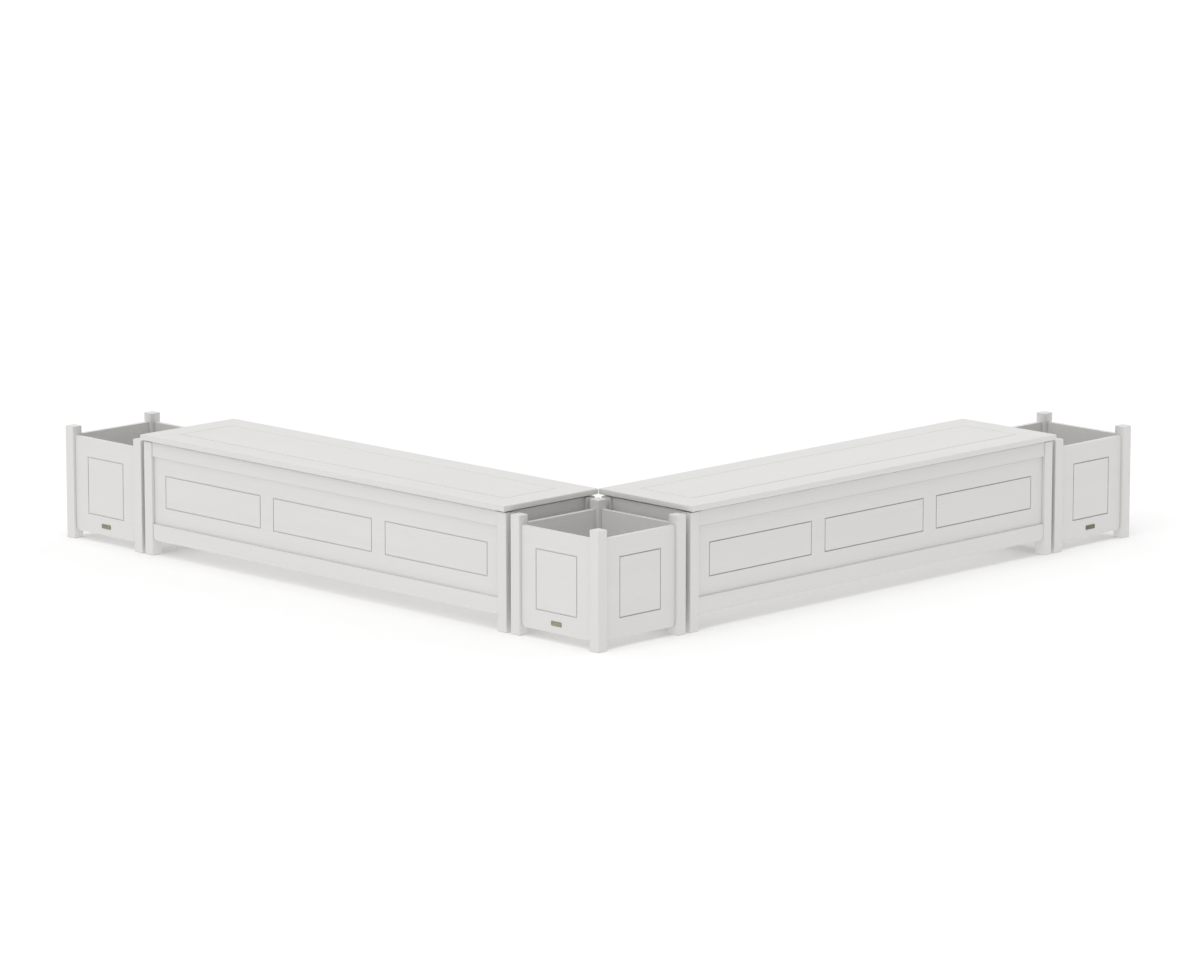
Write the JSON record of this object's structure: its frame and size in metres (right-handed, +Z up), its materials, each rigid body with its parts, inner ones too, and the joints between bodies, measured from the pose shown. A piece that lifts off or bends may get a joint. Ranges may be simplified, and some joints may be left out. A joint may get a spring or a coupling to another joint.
{
  "type": "bench with planter",
  "caption": "Corner seating set of painted wood: long chest benches at right angles with hinged lids, and square planter boxes at the corner and the far ends.",
  "frame": {"origin": "on the floor, in the middle of the set's bounding box", "axes": "+Z up; the outer corner of the L points to -X and -Y, the right bench runs along X on the -Y side, the left bench runs along Y on the -X side"},
  "size_m": [2.96, 2.96, 0.4715],
  "materials": {
    "cream_paint": "satin off-white paint over wood",
    "hinge_steel": "zinc plated",
    "seal_rubber": "matt",
    "plate_brass": "brushed, slightly tarnished"
  },
  "bodies": {
    "frame": {"corner_planter_post_front": "cream_paint", "corner_planter_post_left": "cream_paint", "corner_planter_post_right": "cream_paint", "corner_planter_post_back": "cream_paint", "corner_planter_panel_left_front": "cream_paint", "corner_planter_panel_right_front": "cream_paint", "corner_planter_panel_left_back": "cream_paint", "corner_planter_panel_right_back": "cream_paint", "corner_planter_base": "cream_paint", "left_planter_post_front": "cream_paint", "left_planter_post_left": "cream_paint", "left_planter_post_right": "cream_paint", "left_planter_post_back": "cream_paint", "left_planter_panel_left_front": "cream_paint", "left_planter_panel_right_front": "cream_paint", "left_planter_panel_left_back": "cream_paint", "left_planter_panel_right_back": "cream_paint", "left_planter_base": "cream_paint", "right_planter_post_front": "cream_paint", "right_planter_post_left": "cream_paint", "right_planter_post_right": "cream_paint", "right_planter_post_back": "cream_paint", "right_planter_panel_left_front": "cream_paint", "right_planter_panel_right_front": "cream_paint", "right_planter_panel_left_back": "cream_paint", "right_planter_panel_right_back": "cream_paint", "right_planter_base": "cream_paint", "left_bench_leg_outer_near": "cream_paint", "left_bench_leg_outer_far": "cream_paint", "left_bench_leg_inner_near": "cream_paint", "left_bench_leg_inner_far": "cream_paint", "left_bench_outer_top_rail": "cream_paint", "left_bench_outer_board": "cream_paint", "left_bench_outer_bottom_rail": "cream_paint", "left_bench_inner_side": "cream_paint", "left_bench_end_near": "cream_paint", "left_bench_end_far": "cream_paint", "left_bench_base": "cream_paint", "left_bench_hinge_rail_leaf": "hinge_steel", "left_bench_hinge_pin": "hinge_steel", "left_bench_seal": "seal_rubber", "right_bench_leg_outer_near": "cream_paint", "right_bench_leg_outer_far": "cream_paint", "right_bench_leg_inner_near": "cream_paint", "right_bench_leg_inner_far": "cream_paint", "right_bench_outer_top_rail": "cream_paint", "right_bench_outer_board": "cream_paint", "right_bench_outer_bottom_rail": "cream_paint", "right_bench_inner_side": "cream_paint", "right_bench_end_near": "cream_paint", "right_bench_end_far": "cream_paint", "right_bench_base": "cream_paint", "right_bench_hinge_rail_leaf": "hinge_steel", "right_bench_hinge_pin": "hinge_steel", "right_bench_seal": "seal_rubber"},
    "left_lid": {"left_bench_lid": "cream_paint", "left_bench_hinge_lid_leaf": "hinge_steel"},
    "right_lid": {"right_bench_lid": "cream_paint", "right_bench_hinge_lid_leaf": "hinge_steel"}
  },
  "joints": [
    {"name": "left_lid_hinge", "type": "hinge", "parent": "frame", "child": "left_lid", "pos_m": [-1.4675, 0.00925, 0.4467], "axis": [0, -1, 0], "range_deg": [0, 95]},
    {"name": "right_lid_hinge", "type": "hinge", "parent": "frame", "child": "right_lid", "pos_m": [0.00925, -1.4675, 0.4467], "axis": [1, 0, 0], "range_deg": [0, 95]}
  ]
}
